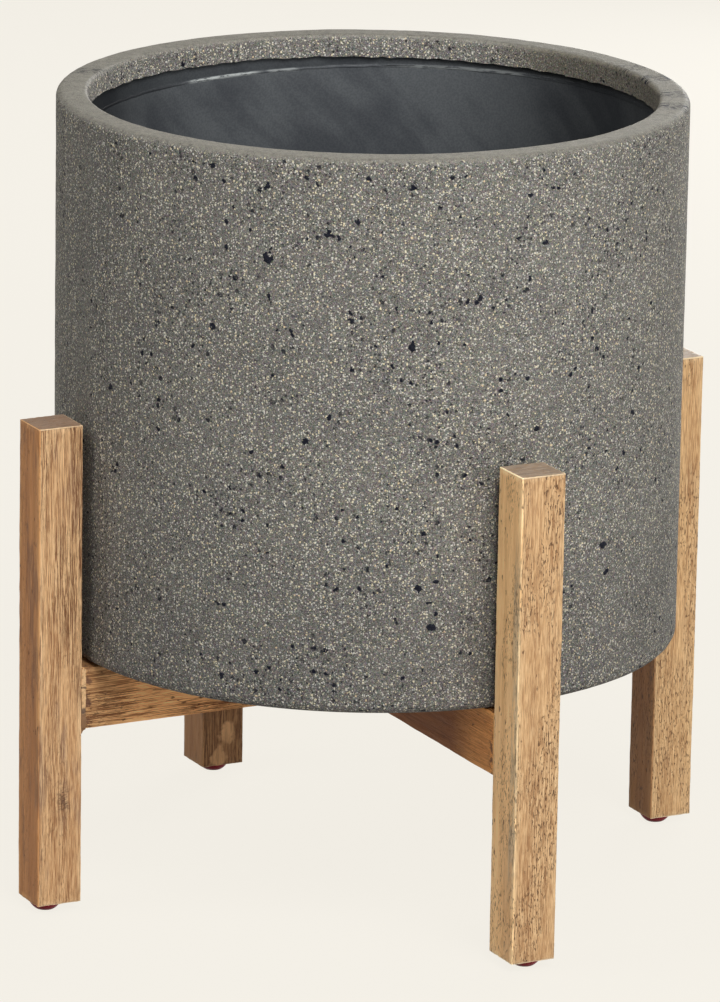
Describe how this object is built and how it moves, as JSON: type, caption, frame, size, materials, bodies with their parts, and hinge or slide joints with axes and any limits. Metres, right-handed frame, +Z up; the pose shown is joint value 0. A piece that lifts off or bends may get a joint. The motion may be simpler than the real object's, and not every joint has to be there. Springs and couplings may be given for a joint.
{
  "type": "plant pot",
  "caption": "Straight-sided round stone-look plant pot with a dark liner, lifted out of a square-legged wooden cross stand on button glides.",
  "frame": {"origin": "middle of the footprint, on the floor: the plane of the four glides' flat undersides", "axes": "+Z up along the pot's axis; the left and right legs stand on the X axis and the front and back legs on the Y axis, with -Y the front"},
  "size_m": [0.474, 0.474, 0.5105],
  "materials": {
    "stone": "rough mid-grey stone-like coat with pale grains and near-black chips, smoother on the rim",
    "liner": "satin dark slate grey with faint slanting streaks",
    "rubber": "matt black moulded rubber",
    "wood": "brushed golden-brown hardwood with open dark pores and worn pale edges",
    "bar_wood": "brushed brown hardwood, darker than the legs",
    "dowel_wood": "plain pale beech",
    "steel": "bright zinc-plated steel",
    "glide": "glossy dark maroon plastic"
  },
  "bodies": {
    "stand": {"leg_left": "wood", "leg_front": "wood", "leg_right": "wood", "leg_back": "wood", "bar_left_right": "bar_wood", "bar_front_back": "bar_wood", "bar_dowels": "dowel_wood", "lap_screw": "steel", "glide_left": "glide", "glide_front": "glide", "glide_right": "glide", "glide_back": "glide", "glide_nails": "steel"},
    "pot": {"pot_shell": "stone", "pot_liner": "liner"},
    "plug": {"drain_plug": "rubber"}
  },
  "joints": [
    {"name": "pot_lift", "type": "slide", "parent": "stand", "child": "pot", "axis": [0, 0, 1], "range_m": [0, 0.2]},
    {"name": "plug_pull", "type": "slide", "parent": "pot", "child": "plug", "axis": [0, 0, 1], "range_m": [0, 0.36]}
  ]
}
